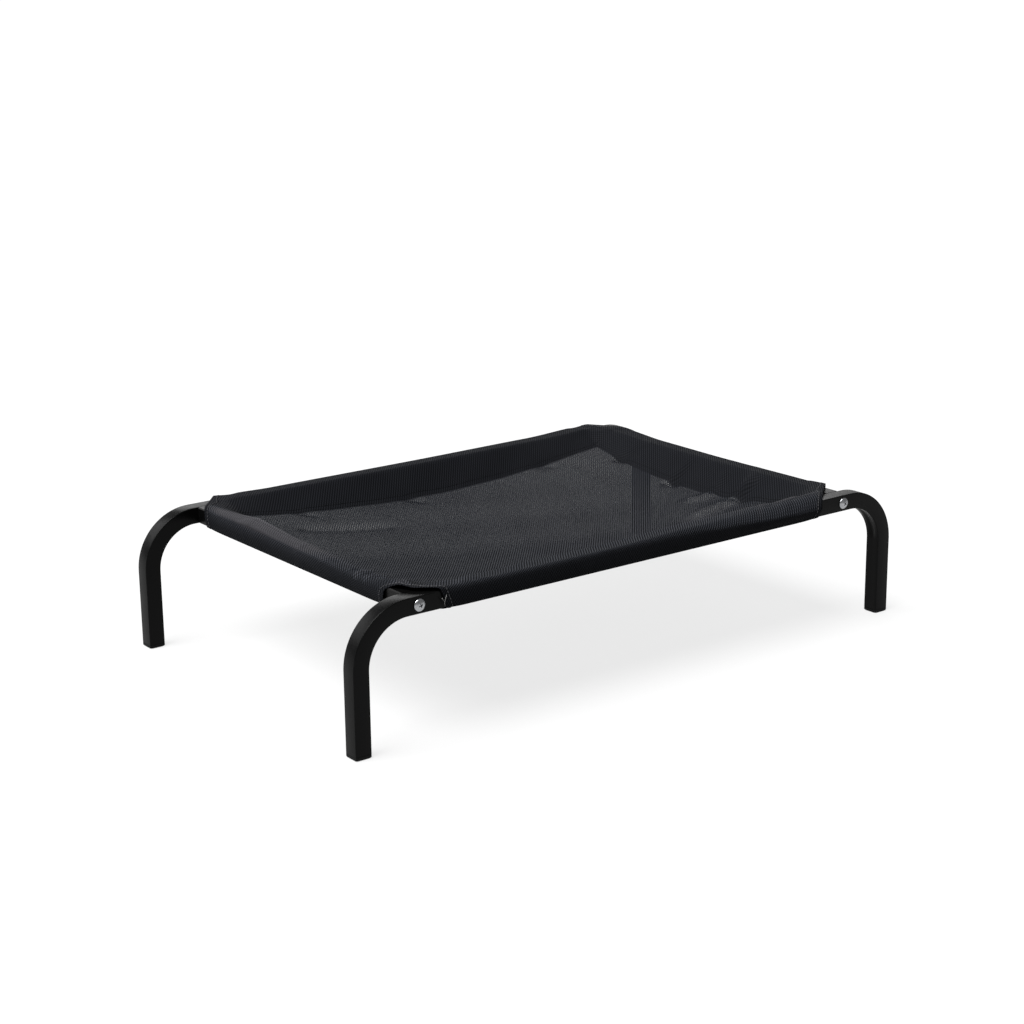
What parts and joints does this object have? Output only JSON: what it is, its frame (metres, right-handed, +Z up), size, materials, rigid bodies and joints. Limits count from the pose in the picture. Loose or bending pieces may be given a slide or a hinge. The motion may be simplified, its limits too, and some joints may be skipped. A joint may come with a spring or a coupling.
{
  "type": "raised pet bed",
  "caption": "Raised pet bed: a dished black mesh mat with sewn sleeves, stretched over a screwed frame of bent square tube with legs.",
  "frame": {"origin": "on the floor under the middle of the bed", "axes": "+X along the long rails, -Y towards the front, +Z up"},
  "size_m": [0.8, 0.482, 0.1681],
  "materials": {
    "powder_coat": "satin black powder coat",
    "black_plastic": "moulded black plastic",
    "zinc_plate": "bright zinc plating",
    "mesh_cloth": "open woven coated-yarn mesh",
    "binding_tape": "woven black tape"
  },
  "bodies": {
    "root": {"front_side_frame": "powder_coat", "rear_side_frame": "powder_coat", "left_cross_rail": "powder_coat", "right_cross_rail": "powder_coat", "front_left_foot": "black_plastic", "front_right_foot": "black_plastic", "rear_left_foot": "black_plastic", "rear_right_foot": "black_plastic", "front_left_nut_plug": "black_plastic", "front_right_nut_plug": "black_plastic", "rear_left_nut_plug": "black_plastic", "rear_right_nut_plug": "black_plastic", "captive_nuts": "zinc_plate", "corner_screws": "zinc_plate", "mat_panel": "mesh_cloth", "front_sleeve": "mesh_cloth", "right_sleeve": "mesh_cloth", "rear_sleeve": "mesh_cloth", "left_sleeve": "mesh_cloth", "front_left_corner_binding": "binding_tape", "front_right_corner_binding": "binding_tape", "rear_left_corner_binding": "binding_tape", "rear_right_corner_binding": "binding_tape"}
  },
  "joints": []
}
